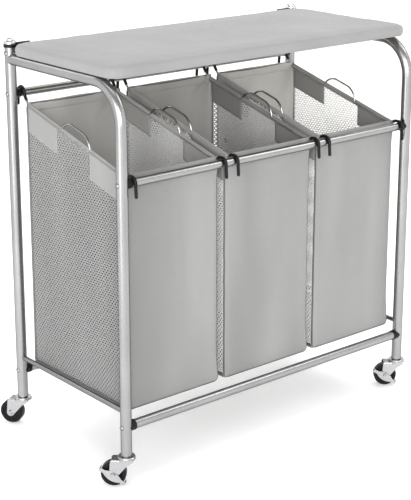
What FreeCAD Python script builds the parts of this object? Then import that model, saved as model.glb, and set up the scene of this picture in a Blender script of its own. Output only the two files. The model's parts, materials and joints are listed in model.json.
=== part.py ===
"""Laundry sorter on wheels: a tube frame on four swivel casters, three lift-off bags and a hinged padded top.

Millimetres. +X runs along the long side, +Y to the back, +Z up from the floor. Every piece is drawn about
the frame's own middle (halfway between the four posts) and then placed so that the row's origin is under
the middle of the whole assembly.
"""
import FreeCAD, Part
import Sketcher
import math
import os
import re

Vector = FreeCAD.Vector
UPRIGHT = FreeCAD.Rotation()
ALONG_X = FreeCAD.Rotation(Vector(0, 1, 0), 90)
ALONG_Y = FreeCAD.Rotation(Vector(1, 0, 0), -90)

doc = FreeCAD.newDocument("laundry_sorter")

# Driving dimensions ---------------------------------------------------------------------------------
SIZES = {
    # side frames
    "post_pitch_x": 760, "post_pitch_y": 365, "post_radius": 11, "tube_wall": 1.2,
    "post_foot_z": 62, "post_top_z": 812, "arm_z": 783, "bend_radius": 75,
    "rail_radius": 5, "rail_z": 150.5,
    # cross bars
    "upper_bar_radius": 8, "lower_bar_radius": 9.5, "bar_wall": 1,
    "upper_front_z": 601, "upper_rear_z": 713, "lower_front_z": 121, "lower_rear_z": 122,
    "plug_collar": 8, "plug_stub": 22, "plug_lip": 1.2,
    # screws
    "shank_radius": 2.5, "head_radius": 5, "head_height": 3, "head_bite": 0.4,
    # rear post tops
    "cap_radius": 11.8, "cap_skirt": 2, "cap_dome": 9, "cap_stub": 12, "cap_stub_radius": 7.8,
    "fitting_ring_radius": 13, "fitting_ring_height": 5, "fitting_plug_length": 26, "fitting_lid": 1.5,
    "hinge_y": 178.5, "hinge_z": 810, "knuckle_radius": 6, "knuckle_length": 17,
    "pin_radius": 2.5, "pin_clearance": 0.05, "hinge_bolt_z": 795,
    # board
    "board_length": 784, "board_depth": 344, "board_y": -2.5, "board_height": 24,
    "board_corner": 40, "cover_skin": 3, "cover_under": 2, "cover_hem": 30,
    "panel_height": 10, "top_round": 9, "under_round": 4,
    "moving_gap": 0.3,
    # hinge lugs under the board
    "lug_width": 14, "lug_reach": 45, "lug_plate": 2.2, "lug_gap": 0.4, "cheek_margin": 1.5,
    "pin_start": 2, "pin_end_gap": 3, "lug_screw_radius": 1.6, "lug_screw_length": 10,
    "lug_head_radius": 3.5, "lug_head_height": 1.6, "bolt_grip": 4,
    # bags
    "bag_pitch": 248.5, "bag_width": 230, "bag_front_y": -165, "bag_back_y": 157.5,
    "bag_bottom_z": 141, "rim_front_z": 612, "rim_back_z": 696, "cloth": 2,
    "bottom_round": 12, "hem_drop": 20, "hem_depth": 8, "patch_length": 95, "patch_drop": 75,
    "patch_skin": 1,
    # hanger wires and their hooks, drawn in the plane of the bag's side
    "wire_radius": 2, "sleeve_radius": 3.25, "wire_drop": 8, "hook_tail": 24.5, "hook_toe": 1.5,
    "handle_span": 100, "handle_top": 76, "handle_rise": 26, "handle_middle_y": -6,
    "tail_bend": 8, "front_run_bend": 4.5, "rear_run_bend": 6, "rear_rise_bend": 10,
    "handle_foot_bend": 7, "handle_bend": 34, "front_bend_inset": 2.5, "rear_bend_inset": 2,
    "rear_rise_drop": 4, "wire_end_trim": 1.5, "front_sleeve_share": 0.35, "rear_sleeve_share": 0.45,
    # casters
    "wheel_radius": 25, "wheel_half_width": 9.5, "hub_half_width": 11, "trail": 25,
    "fork_half_width": 13, "fork_skin": 1.5, "crown_z": 56, "race_radius": 17.5,
    "stem_radius": 4, "stem_top_z": 92, "socket_top_z": 94, "axle_radius": 3,
    "fork_foot_radius": 8, "fork_nose": 15, "fork_nose_drop": 4, "fork_throat": 2,
    "fork_throat_drop": 12, "leg_front": 5.4, "leg_rear": 5.5, "leg_rear_drop": 3, "crown_tail": 2.5,
    "foot_front_drop": 6, "foot_rear": 3, "foot_rear_drop": 7.4, "shoulder_round": 3,
    "race_low": 4, "race_height": 6,
    "cup_gap": 0.6, "cup_skirt": 2.2, "cup_dome": 3.4, "cup_lip": 1,
    "stem_foot_drop": 6, "stem_foot_lip": 3.5, "stem_foot_height": 2.4, "foot_room": 20,
    "hub_radius": 6.5, "hub_taper": 1, "wheel_recess": 2.5, "recess_radius": 17, "recess_taper": 1.5,
    "tread_shoulder": 2.5, "shoulder_step": 0.7, "shoulder_low": 1.4, "tread_inset": 4,
    "axle_head_radius": 5, "axle_head_height": 1.8, "nut_radius": 5.2, "nut_height": 3.2,
    "axle_end": 4.5,
    "lever_tilt": -32, "tab_arm": 10, "lever_skin": 1.6,
    "leaf_half_length": 23, "leaf_half_width": 9, "leaf_drop": 3,
    "tab_gap": 2, "tab_width": 7, "tab_reach": 10,
    "front_left_angle": 136, "front_right_angle": 142, "rear_left_angle": 124, "rear_right_angle": 130,
    # where the row's origin stands, measured from the frame's middle; worked out below
    "origin_x": 0, "origin_y": 0,
}
sizes = doc.addObject("Spreadsheet::Sheet", "sizes")
for row, (alias, value) in enumerate(SIZES.items(), 1):
    sizes.set("A%d" % row, str(value))
    sizes.setAlias("A%d" % row, alias)
doc.recompute()


# Helpers --------------------------------------------------------------------------------------------
def size(alias):
    """The number held by one cell of the sheet."""
    return float(getattr(sizes, alias))


def formula(text):
    """An expression in which the sheet's aliases may be written as plain words."""
    def full(match):
        word = match.group(0)
        return "sizes." + word if word in SIZES else word
    return re.sub(r"[a-z_][a-z_0-9]*", full, str(text))


def bind(piece, **properties):
    for name, text in properties.items():
        piece.setExpression(name, formula(text))
    return piece


def move(piece, x="0", y="0", z="0"):
    for axis, text in (("x", x), ("y", y), ("z", z)):
        piece.setExpression("Placement.Base." + axis, formula(text))
    return piece


def rod(name, radius, length, x="0", y="0", z="0", turn=UPRIGHT):
    piece = doc.addObject("Part::Cylinder", name)
    piece.Placement.Rotation = turn
    bind(piece, Radius=radius, Height=length)
    return move(piece, x, y, z)


def block(name, length, width, height, x="0", y="0", z="0"):
    piece = doc.addObject("Part::Box", name)
    bind(piece, Length=length, Width=width, Height=height)
    return move(piece, x, y, z)


def dome(name, radius, height, x="0", y="0", z="0", turn=UPRIGHT):
    """Half an ellipsoid standing on its flat face."""
    piece = doc.addObject("Part::Ellipsoid", name)
    piece.Angle1 = 0
    piece.Placement.Rotation = turn
    bind(piece, Radius1=height, Radius2=radius, Radius3=radius)
    return move(piece, x, y, z)


def cut(name, base, tool):
    piece = doc.addObject("Part::Cut", name)
    piece.Base = base
    piece.Tool = tool
    return piece


def fuse(name, pieces):
    piece = doc.addObject("Part::MultiFuse", name)
    piece.Shapes = pieces
    return piece


def group(name, pieces):
    piece = doc.addObject("Part::Compound", name)
    piece.Links = pieces
    return piece


def tube(name, radius, wall, length, x="0", y="0", z="0", turn=UPRIGHT):
    outer = rod(name + "_outer", radius, length, x, y, z, turn)
    inner = rod(name + "_inner", "%s - %s" % (radius, wall), length, x, y, z, turn)
    return cut(name + "_tube", outer, inner)


def new_body(name):
    return doc.addObject("PartDesign::Body", name)


def sketch(body, plane_role, name, height=None):
    """A sketch on one of the body's own origin planes, lifted along the plane's normal by height."""
    piece = body.newObject("Sketcher::SketchObject", name)
    plane = next(f for f in body.Origin.OriginFeatures if f.Role == plane_role)
    piece.AttachmentSupport = [(plane, "")]
    piece.MapMode = "FlatFace"
    if height is not None:
        piece.setExpression("AttachmentOffset.Base.z", formula(height))
    return piece


def outline(drawing, corners):
    """A closed run of straight edges whose corners are held from the sketch's origin by formulas."""
    first = drawing.GeometryCount
    count = len(corners)
    for i in range(count):
        ends = [Vector(math.cos(2 * math.pi * k / count), math.sin(2 * math.pi * k / count), 0)
                for k in (i, i + 1)]
        drawing.addGeometry(Part.LineSegment(*ends), False)
    for i in range(count):
        drawing.addConstraint(
            Sketcher.Constraint("Coincident", first + i, 2, first + (i + 1) % count, 1))
    for i, corner in enumerate(corners):
        for kind, text in zip(("DistanceX", "DistanceY"), corner):
            held = drawing.addConstraint(Sketcher.Constraint(kind, -1, 1, first + i, 1, 1.0))
            drawing.setExpression("Constraints[%d]" % held, formula(text))


def disc(drawing, radius, x="0", y="0"):
    """A circle held by its centre and radius."""
    start = Part.Circle(Vector(1, 1, 0), Vector(0, 0, 1), 1)
    index = drawing.addGeometry(start, False)
    for kind, text in (("DistanceX", x), ("DistanceY", y)):
        held = drawing.addConstraint(Sketcher.Constraint(kind, -1, 1, index, 3, 1.0))
        drawing.setExpression("Constraints[%d]" % held, formula(text))
    held = drawing.addConstraint(Sketcher.Constraint("Radius", index, 1.0))
    drawing.setExpression("Constraints[%d]" % held, formula(radius))


def rectangle(drawing, x_low, x_high, y_low, y_high):
    outline(drawing, [(x_low, y_low), (x_high, y_low), (x_high, y_high), (x_low, y_high)])


def pad(body, drawing, length, name, both_ways=False):
    piece = body.newObject("PartDesign::Pad", name)
    piece.Profile = drawing
    piece.Midplane = both_ways
    return bind(piece, Length=length)


def pocket(body, drawing, length, name, reverse=False, both_ways=False):
    """Cut a pocket and check that it took something away."""
    before = body.Shape.Volume
    piece = body.newObject("PartDesign::Pocket", name)
    piece.Profile = drawing
    piece.Reversed = reverse
    piece.Midplane = both_ways
    bind(piece, Length=length)
    doc.recompute()
    if piece.Shape.Volume > before - 1e-3:
        raise SystemExit("pocket %s cut nothing: %s" % (name, piece.State))
    return piece


def edges(feature, wanted):
    """Names of the feature's edges whose middle point and direction pass the test."""
    doc.recompute()
    names = []
    for i, edge in enumerate(feature.Shape.Edges, 1):
        middle = edge.valueAt((edge.FirstParameter + edge.LastParameter) / 2)
        direction = edge.tangentAt((edge.FirstParameter + edge.LastParameter) / 2)
        if wanted(middle, direction):
            names.append("Edge%d" % i)
    return names


def rounded(body, feature, wanted, radius, name):
    piece = body.newObject("PartDesign::Fillet", name)
    piece.Base = (feature, edges(feature, wanted))
    bind(piece, Radius=radius)
    doc.recompute()
    return piece


def revolve(body, drawing, name):
    """Turn a half section about the sketch's vertical axis."""
    piece = body.newObject("PartDesign::Revolution", name)
    piece.Profile = drawing
    piece.ReferenceAxis = (drawing, ["V_Axis"])
    piece.Angle = 360
    return piece


def rod_along(corners, radii, radius):
    """A round rod along straight runs joined by tangent arcs; a radius of 0 marks an end."""
    edges_made = []
    start = corners[0]
    for i in range(1, len(corners) - 1):
        into = (corners[i] - corners[i - 1]).normalize()
        out = (corners[i + 1] - corners[i]).normalize()
        turn = into.getAngle(out)
        reach = radii[i] * math.tan(turn / 2)
        enter = corners[i] - into * reach
        leave = corners[i] + out * reach
        inside = (out - into).normalize()
        middle = corners[i] + inside * (radii[i] / math.cos(turn / 2) - radii[i])
        if start.distanceToPoint(enter) > 1e-6:
            edges_made.append(Part.LineSegment(start, enter).toShape())
        edges_made.append(Part.Arc(enter, middle, leave).toShape())
        start = leave
    edges_made.append(Part.LineSegment(start, corners[-1]).toShape())
    path = Part.Wire(edges_made)
    ring = Part.Wire([Part.makeCircle(radius, corners[0], corners[1] - corners[0])])
    return path.makePipeShell([ring], True, True)


nodes = {}


def node(piece, label, x="0", y="0", z="0"):
    """Keep a finished sub-part under its name, placed from the row's origin."""
    piece.Label = label
    move(piece, "%s - origin_x" % x, "%s - origin_y" % y, z)
    nodes[label] = piece
    return piece


SIDES = (("left", -1), ("right", 1))
HALF_Y = "post_pitch_y / 2"
CORNERS = [(front + "_" + side, sx, sy) for front, sy in (("front", -1), ("rear", 1)) for side, sx in SIDES]


def post_x(sign):
    return "%d * post_pitch_x / 2" % sign


def post_y(sign):
    return "%d * post_pitch_y / 2" % sign


def turned_x(sign):
    """The turn that lays a primitive along +X or -X."""
    return FreeCAD.Rotation(Vector(0, 1, 0), 90 * sign)


# Screws of the cross bars: a domed head outside each post and a shank into the bar's plug ----------
BARS = (("upper_front", -1, "upper_bar_radius"), ("upper_rear", 1, "upper_bar_radius"),
        ("lower_front", -1, "lower_bar_radius"), ("lower_rear", 1, "lower_bar_radius"))
screws = []
for bar, depth_sign, bar_radius in BARS:
    for side, sign in SIDES:
        name = "screw_%s_%s" % (bar, side)
        seat = "%d * (post_pitch_x / 2 + post_radius - head_bite)" % sign
        place = (post_y(depth_sign), bar + "_z")
        shank = rod(name + "_shank", "shank_radius", "2 * post_radius + plug_collar + plug_stub / 2",
                    seat, *place, turn=turned_x(-sign))
        head = dome(name + "_head", "head_radius", "head_height", seat, *place, turn=turned_x(sign))
        screws.append(fuse(name, [shank, head]))
frame_screws = node(group("frame_screw_set", screws), "frame_screws")


# Side frames ----------------------------------------------------------------------------------------
def bent_tube(name):
    """Front leg, bend and top arm in one tube, drawn in the YZ plane."""
    body = new_body(name)
    section = sketch(body, "XY_Plane", name + "_section", "post_foot_z")
    section.setExpression("AttachmentOffset.Base.y", formula("-1 * post_pitch_y / 2"))
    disc(section, "post_radius")
    disc(section, "post_radius - tube_wall")
    run = sketch(body, "YZ_Plane", name + "_run")
    half, foot, top = size("post_pitch_y") / 2, size("post_foot_z"), size("arm_z")
    bend_radius = size("bend_radius")
    leg = run.addGeometry(Part.LineSegment(Vector(-half, foot, 0), Vector(-half, top - bend_radius, 0)))
    circle = Part.Circle(Vector(bend_radius - half, top - bend_radius, 0), Vector(0, 0, 1), bend_radius)
    bend = run.addGeometry(Part.ArcOfCircle(circle, math.pi / 2, math.pi))
    arm = run.addGeometry(Part.LineSegment(Vector(bend_radius - half, top, 0), Vector(half, top, 0)))
    for fixed in (Sketcher.Constraint("Vertical", leg), Sketcher.Constraint("Horizontal", arm),
                  Sketcher.Constraint("Tangent", leg, 2, bend, 2),
                  Sketcher.Constraint("Tangent", bend, 1, arm, 1)):
        run.addConstraint(fixed)
    held = (("DistanceX", leg, 1, "-1 * post_pitch_y / 2"), ("DistanceY", leg, 1, "post_foot_z"),
            ("DistanceX", arm, 2, "post_pitch_y / 2"), ("DistanceY", arm, 2, "arm_z"))
    for kind, index, end, text in held:
        constraint = run.addConstraint(Sketcher.Constraint(kind, -1, 1, index, end, 1.0))
        run.setExpression("Constraints[%d]" % constraint, formula(text))
    constraint = run.addConstraint(Sketcher.Constraint("Radius", bend, 1.0))
    run.setExpression("Constraints[%d]" % constraint, formula("bend_radius"))
    pipe = body.newObject("PartDesign::AdditivePipe", name + "_pipe")
    pipe.Profile = section
    pipe.Spine = (run, ["Edge1", "Edge2", "Edge3"])
    return body


POST_LENGTH = "post_top_z - post_foot_z"
bolts = {}
for side, sign in SIDES:
    shanks = group(side + "_holes", [screw for screw in screws if screw.Name.endswith(side)])
    cope = rod(side + "_arm_cope", "post_radius", POST_LENGTH, y=HALF_Y, z="post_foot_z")
    coped = cut(side + "_coped_arm", bent_tube(side + "_bent"), cope)
    move(coped, x=post_x(sign))
    node(cut(side + "_leg_and_arm", coped, shanks), side + "_bent_tube")

    post = tube(side + "_post", "post_radius", "tube_wall", POST_LENGTH, post_x(sign), HALF_Y,
                "post_foot_z")
    seat = "%d * (post_pitch_x / 2 + post_radius - head_bite)" % sign
    bolt = fuse(side + "_hinge_bolt", [
        rod(side + "_bolt_shank", "shank_radius", "post_radius + bolt_grip", seat, HALF_Y,
            "hinge_bolt_z", turn=turned_x(-sign)),
        dome(side + "_bolt_head", "head_radius", "head_height", seat, HALF_Y, "hinge_bolt_z",
             turn=turned_x(sign))])
    bolts[side] = bolt
    drilled = cut(side + "_drilled_post", post, fuse(side + "_post_holes", [shanks, bolt]))
    node(drilled, side + "_rear_post")

    rail = rod(side + "_rail", "rail_radius", "post_pitch_y", post_x(sign), "-1 * post_pitch_y / 2",
               "rail_z", turn=ALONG_Y)
    ends = fuse(side + "_rail_copes",
                [rod("%s_cope_%d" % (side, y > 0), "post_radius", POST_LENGTH, post_x(sign), post_y(y),
                     "post_foot_z") for y in (-1, 1)])
    node(cut(side + "_coped_rail", rail, ends), side + "_side_rail")

# Cross bars and the black plugs that seat them on the posts -----------------------------------------
plugs = []
for bar, depth_sign, bar_radius in BARS:
    y, z = post_y(depth_sign), bar + "_z"
    end = "(post_pitch_x / 2 - post_radius - plug_collar)"
    made = tube(bar, bar_radius, "bar_wall", "2 * " + end, "-1 * " + end, y, z, ALONG_X)
    node(made, bar + "_bar")
    for side, sign in SIDES:
        name = "%s_%s_plug" % (bar, side)
        collar = rod(name + "_collar", bar_radius + " + plug_lip", "plug_collar + post_radius",
                     "%d * %s" % (sign, end), y, z, turned_x(sign))
        stub = rod(name + "_stub", bar_radius + " - bar_wall", "plug_stub + 1",
                   "%d * (%s - plug_stub)" % (sign, end), y, z, turned_x(sign))
        post_side = rod(name + "_cope", "post_radius", "4 * post_radius", post_x(sign), y,
                        z + " - 2 * post_radius")
        shank = next(s for s in screws if s.Name == "screw_%s_%s" % (bar, side))
        plugs.append(cut(name, fuse(name + "_solid", [collar, stub]),
                         fuse(name + "_tools", [post_side, shank])))
node(group("plug_set", plugs), "bar_end_plugs")

# Tops of the rear posts: plastic hinge fitting, its bolt, and a domed cap ---------------------------
fittings, caps = [], []
for side, sign in SIDES:
    x = post_x(sign)
    cap_z = "post_top_z + fitting_lid"
    cap = fuse(side + "_cap", [
        rod(side + "_cap_skirt", "cap_radius", "cap_skirt", x, HALF_Y, cap_z),
        dome(side + "_cap_dome", "cap_radius", "cap_dome", x, HALF_Y, cap_z + " + cap_skirt"),
        rod(side + "_cap_stub", "cap_stub_radius", "cap_stub + fitting_lid", x, HALF_Y,
            "post_top_z - cap_stub")])
    caps.append(cap)
    ring_z = "post_top_z - fitting_ring_height"
    ring = rod(side + "_ring", "fitting_ring_radius", "fitting_ring_height", x, HALF_Y, ring_z)
    post_hole = rod(side + "_ring_hole", "post_radius", "fitting_ring_height", x, HALF_Y, ring_z)
    plug = rod(side + "_fitting_plug", "post_radius - tube_wall", "fitting_plug_length", x, HALF_Y,
               "post_top_z - fitting_plug_length")
    lid = rod(side + "_fitting_lid", "fitting_ring_radius", "fitting_lid", x, HALF_Y, "post_top_z")
    start = "%d * (post_pitch_x / 2 - post_radius)" % sign
    knuckle = rod(side + "_knuckle", "knuckle_radius", "knuckle_length", start, "hinge_y", "hinge_z",
                  turned_x(-sign))
    bore = rod(side + "_knuckle_bore", "pin_radius + pin_clearance", "knuckle_length + 1", start,
               "hinge_y", "hinge_z", turned_x(-sign))
    solid = fuse(side + "_fitting_solid", [cut(side + "_ring_cut", ring, post_hole), plug, lid, knuckle])
    fittings.append(cut(side + "_fitting", solid,
                        fuse(side + "_fitting_tools", [bore, cap, bolts[side]])))
node(group("fitting_set", fittings), "hinge_fittings")
node(group("bolt_set", list(bolts.values())), "hinge_bolts")
node(group("cap_set", caps), "rear_post_caps")

# Board: panel, foam and cover, with its hinge lugs --------------------------------------------------
def upright_edge(middle, direction):
    return abs(abs(direction.z) - 1) < 1e-6


def slab(name, inset, z_low, height, corner):
    """A flat slab with rounded corners, inset all round from the board's outline."""
    body = new_body(name)
    drawing = sketch(body, "XY_Plane", name + "_outline", z_low)
    half_x = "(board_length / 2 - %s)" % inset
    half_y = "(board_depth / 2 - %s)" % inset
    rectangle(drawing, "-1 * " + half_x, half_x, "board_y - " + half_y, "board_y + " + half_y)
    plate = pad(body, drawing, height, name + "_pad")
    return body, rounded(body, plate, upright_edge, corner, name + "_corners")


lugs, pins, lug_screws = [], [], []
UNDERSIDE = "arm_z + post_radius + moving_gap"
LUG_LOW = UNDERSIDE + " - moving_gap - lug_plate"
BOARD_BACK = "board_y + board_depth / 2"
for side, sign in SIDES:
    near = "(post_pitch_x / 2 - post_radius - knuckle_length - lug_gap)"
    start = "%d * %s" % (sign, near)
    low_x = "%s - %s" % (start, "lug_width" if sign > 0 else "0")
    plate = block(side + "_lug_plate", "lug_width", "lug_reach + lug_gap + lug_plate", "lug_plate",
                  low_x, BOARD_BACK + " - lug_reach", LUG_LOW)
    web = block(side + "_lug_web", "lug_width", "lug_plate", "hinge_z - (%s)" % LUG_LOW, low_x,
                BOARD_BACK + " + lug_gap", LUG_LOW)
    cheek = block(side + "_lug_cheek", "lug_width", "hinge_y - board_y - board_depth / 2 - lug_gap",
                  "2 * (knuckle_radius - cheek_margin)", low_x, BOARD_BACK + " + lug_gap",
                  "hinge_z - knuckle_radius + cheek_margin")
    barrel = rod(side + "_lug_barrel", "knuckle_radius", "lug_width", start, "hinge_y", "hinge_z",
                 turn=turned_x(-sign))
    pin = rod(side + "_pin", "pin_radius", "knuckle_length + lug_gap + lug_width - pin_end_gap",
              "%d * (%s + knuckle_length + lug_gap - pin_start)" % (sign, near), "hinge_y", "hinge_z",
              turn=turned_x(-sign))
    pins.append(pin)
    fixings = []
    for k in (1, 2):
        x, y = "%d * (%s - lug_width / 2)" % (sign, near), "%s - lug_reach * %d / 3" % (BOARD_BACK, k)
        shank = rod("%s_lug_shank_%d" % (side, k), "lug_screw_radius", "lug_screw_length", x, y, LUG_LOW)
        head = dome("%s_lug_head_%d" % (side, k), "lug_head_radius", "lug_head_height", x, y, LUG_LOW,
                    FreeCAD.Rotation(Vector(1, 0, 0), 180))
        fixings.append(fuse("%s_lug_screw_%d" % (side, k), [shank, head]))
    lug_screws += fixings
    lugs.append(cut(side + "_lug", fuse(side + "_lug_solid", [plate, web, cheek, barrel]),
                    fuse(side + "_lug_tools", fixings + [pin])))
node(group("lug_set", lugs), "board_hinge_lugs")
node(group("pin_set", pins), "hinge_pins")
node(group("lug_screw_set", lug_screws), "lug_screws")

PANEL_Z = UNDERSIDE + " + cover_under"
FOAM_Z = PANEL_Z + " + panel_height"
FOAM_HEIGHT = "board_height - cover_under - panel_height - cover_skin"
INNER_CORNER = "board_corner - cover_skin"
cover_low = size("arm_z") + size("post_radius") + size("moving_gap")
cover_high = cover_low + size("board_height")


def at_height(height):
    """A test for edges lying at one height."""
    return lambda middle, direction: abs(middle.z - height) < 1e-3


def board_core(name):
    """The panel and the foam that lie inside the cover."""
    panel, _ = slab(name + "_panel", "cover_skin", PANEL_Z, "panel_height", INNER_CORNER)
    foam, foam_plate = slab(name + "_foam", "cover_skin", FOAM_Z, FOAM_HEIGHT, INNER_CORNER)
    rounded(foam, foam_plate, at_height(cover_high - size("cover_skin")), "top_round - cover_skin",
            name + "_foam_edge")
    return panel, foam


panel, foam = board_core("board")
node(cut("drilled_panel", panel, group("panel_screw_holes", lug_screws)), "board_panel")
node(foam, "board_foam")
cover, cover_plate = slab("cover_blank", "0", UNDERSIDE, "board_height", "board_corner")
cover_top = rounded(cover, cover_plate, at_height(cover_high), "top_round", "cover_top_edge")
rounded(cover, cover_top, at_height(cover_low), "under_round", "cover_under_edge")
opening, _ = slab("cover_opening", "cover_hem", UNDERSIDE + " - 1", "cover_under + 2",
                  "board_corner - cover_hem")
room = fuse("cover_room", [opening, *board_core("room"), group("cover_screw_holes", lug_screws)])
node(cut("cover_shell", cover, room), "board_cover")

# Bags: a U of cloth, two mesh sides, hems, corner patches and two hanger wires ----------------------
SLOPE = math.atan2(size("rim_back_z") - size("rim_front_z"), size("bag_back_y") - size("bag_front_y"))


def rim_z(y):
    """Height of the bag's sloping rim at depth y."""
    return size("rim_front_z") + (y - size("bag_front_y")) * math.tan(SLOPE)


def hanger_corners():
    """The hanger wire's corners and bend radii in the plane of the bag's side, front tip to rear tip."""
    reach = size("upper_bar_radius") + size("moving_gap") + size("sleeve_radius")
    tail, toe = size("hook_tail"), size("hook_toe")
    front = Vector(0, -size("post_pitch_y") / 2, size("upper_front_z"))
    rear = Vector(0, size("post_pitch_y") / 2, size("upper_rear_z"))
    along = Vector(0, math.cos(SLOPE), math.sin(SLOPE))
    above = Vector(0, -math.sin(SLOPE), math.cos(SLOPE))
    middle_y = size("handle_middle_y")
    middle = Vector(0, middle_y, rim_z(middle_y)) - above * size("wire_drop")
    half_span, half_top = size("handle_span") / 2, size("handle_top") / 2
    rise = above * size("handle_rise")

    def on_run(y):
        return middle + along * ((y - middle.y) / math.cos(SLOPE))

    tail_bend, foot_bend, handle_bend = size("tail_bend"), size("handle_foot_bend"), size("handle_bend")
    run_front = on_run(size("bag_front_y") + size("front_bend_inset"))
    run_rear = on_run(size("bag_back_y") - size("rear_bend_inset"))
    return [
        (front + Vector(0, -reach - toe, -tail), 0),
        (front + Vector(0, -reach, -reach / 2), tail_bend),
        (front + Vector(0, -reach, reach), reach),
        (front + Vector(0, 0.8 * reach, reach), tail_bend),
        (run_front, size("front_run_bend")),
        (middle - along * half_span, foot_bend),
        (middle - along * half_top + rise, handle_bend),
        (middle + along * half_top + rise, handle_bend),
        (middle + along * half_span, foot_bend),
        (run_rear, size("rear_run_bend")),
        (rear + Vector(0, -reach, -size("rear_rise_drop")), size("rear_rise_bend")),
        (rear + Vector(0, -reach, reach), reach),
        (rear + Vector(0, reach, reach), reach),
        (rear + Vector(0, reach, -reach / 2), tail_bend),
        (rear + Vector(0, reach + toe, -tail), 0),
    ]


def shifted(parts, distance):
    return [(corner + Vector(distance, 0, 0), radius) for corner, radius in parts]


def swept(parts, radius):
    return rod_along([corner for corner, _ in parts], [bend for _, bend in parts], radius)


def sleeve(parts, toward_last):
    """Black sleeve over a hook: from its rounded tip to a point part of the way along the last run."""
    parts = list(parts)
    (near, _), (far, _) = parts[-2:]
    parts[-1] = (near + (far - near) * toward_last, 0)
    outer = swept(parts, size("sleeve_radius"))
    tip = Part.makeSphere(size("sleeve_radius"), parts[0][0])
    return outer.fuse(tip).removeSplitter()


CLOTH_HALF = "bag_width / 2"
BAG_DEPTH = "(bag_back_y - bag_front_y)"
RIM_SLOPE = "((rim_back_z - rim_front_z) / (bag_back_y - bag_front_y))"


def rim(offset_y, drop):
    """Height of the rim line, dropped by so much, at a distance behind the front panel."""
    return "rim_front_z + %s * (%s) - (%s)" % (RIM_SLOPE, offset_y, drop)


OUTSIDE = [("bag_front_y", "bag_bottom_z"), ("bag_back_y", "bag_bottom_z"),
           ("bag_back_y", "rim_back_z"), ("bag_front_y", "rim_front_z")]
FLOOR = [("bag_front_y + cloth", "bag_bottom_z + bottom_round"),
         ("bag_front_y + bottom_round", "bag_bottom_z + cloth"),
         ("bag_back_y - bottom_round", "bag_bottom_z + cloth"),
         ("bag_back_y - cloth", "bag_bottom_z + bottom_round")]
ROOM = FLOOR + [("bag_back_y - cloth", "2 * rim_back_z"), ("bag_front_y + cloth", "2 * rim_back_z")]


def band(near, far, low, high):
    """A strip below the rim, between two distances behind the front panel and two drops."""
    return [("bag_front_y + " + near, rim(near, low)), ("bag_front_y + " + far, rim(far, low)),
            ("bag_front_y + " + far, rim(far, high)), ("bag_front_y + " + near, rim(near, high))]


def side_plate(name, corners, sign, low, high):
    """A plate standing in the bag's side plane between two distances from the bag's middle."""
    body = new_body(name)
    drawing = sketch(body, "YZ_Plane", name + "_outline", low if sign > 0 else "-1 * (%s)" % high)
    outline(drawing, corners)
    pad(body, drawing, "(%s) - (%s)" % (high, low), name + "_pad")
    return body


def cloth_u(name):
    """Front, floor and back of a bag in one strip of cloth, with rounded bottom corners."""
    body = new_body(name)
    drawing = sketch(body, "YZ_Plane", name + "_outline")
    outline(drawing, OUTSIDE)
    whole = pad(body, drawing, "bag_width", name + "_pad", both_ways=True)
    floor_z = size("bag_bottom_z")
    rounded(body, whole,
            lambda middle, direction: abs(middle.z - floor_z) < 1e-3 and abs(direction.y) < 1e-6,
            "bottom_round", name + "_bottom_corners")
    room = sketch(body, "YZ_Plane", name + "_room")
    outline(room, ROOM)
    pocket(body, room, "bag_width + 2", name + "_pocket", both_ways=True)
    return body


def solid_node(name, shapes):
    """A document object that holds swept shapes made without a feature of their own."""
    piece = doc.addObject("Part::Feature", name)
    piece.Shape = Part.makeCompound(shapes)
    return piece


def trimmed(parts, trim):
    """The same run with both of its ends drawn back a little."""
    (first, _), (second, _) = parts[:2]
    (before, _), (last, _) = parts[-2:]
    return ([(first + (second - first).normalize() * trim, 0)] + parts[1:-1]
            + [(last + (before - last).normalize() * trim, 0)])


for index, bag in enumerate(("left", "middle", "right")):
    column = "%d * bag_pitch" % (index - 1)
    wires, sleeves = [], []
    for side, sign in SIDES:
        beside = size("bag_width") / 2 - size("cloth") - size("hem_depth") / 2
        parts = shifted(hanger_corners(), (index - 1) * size("bag_pitch") + sign * beside)
        wire = swept(trimmed(parts, size("wire_end_trim")), size("wire_radius"))
        wires.append(wire)
        for hook, share in ((parts[:5], "front_sleeve_share"), (parts[:8:-1], "rear_sleeve_share")):
            sleeves.append(sleeve(hook, size(share)).cut(wire))
    node(solid_node(bag + "_wires", wires), bag + "_bag_hanger_wires")
    node(solid_node(bag + "_sleeves", sleeves), bag + "_bag_hook_sleeves")
    tunnel = solid_node(bag + "_wire_tool", wires)

    shell = cloth_u(bag + "_cloth")
    move(shell, x=column)
    node(cut(bag + "_cloth_eyelets", shell, tunnel), bag + "_bag_fabric")

    mesh, hems, patches = [], [], []
    within = CLOTH_HALF + " - cloth"
    for side, sign in SIDES:
        name = "%s_%s_" % (bag, side)
        mesh_outline = FLOOR + [("bag_back_y - cloth", rim(BAG_DEPTH + " - cloth", "0")),
                                ("bag_front_y + cloth", rim("cloth", "0"))]
        mesh.append(side_plate(name + "mesh", mesh_outline, sign, within, CLOTH_HALF))
        hem_outline = band("cloth", BAG_DEPTH + " - cloth", "hem_drop", "0")
        hems.append(side_plate(name + "hem", hem_outline, sign, within + " - hem_depth", within))
        for end, near, far in (("front", "cloth", "patch_length"),
                               ("rear", BAG_DEPTH + " - patch_length", BAG_DEPTH + " - cloth")):
            patch_outline = band(near, far, "hem_drop + patch_drop", "hem_drop")
            patches.append(side_plate(name + end + "_patch", patch_outline, sign,
                                      within + " - patch_skin", within))
    for piece in mesh + hems + patches:
        move(piece, x=column)
    node(group(bag + "_mesh_set", mesh), bag + "_bag_mesh_sides")
    node(cut(bag + "_hem_tunnels", group(bag + "_hem_set", hems), tunnel), bag + "_bag_side_hems")
    node(group(bag + "_patch_set", patches), bag + "_bag_corner_patches")

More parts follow.
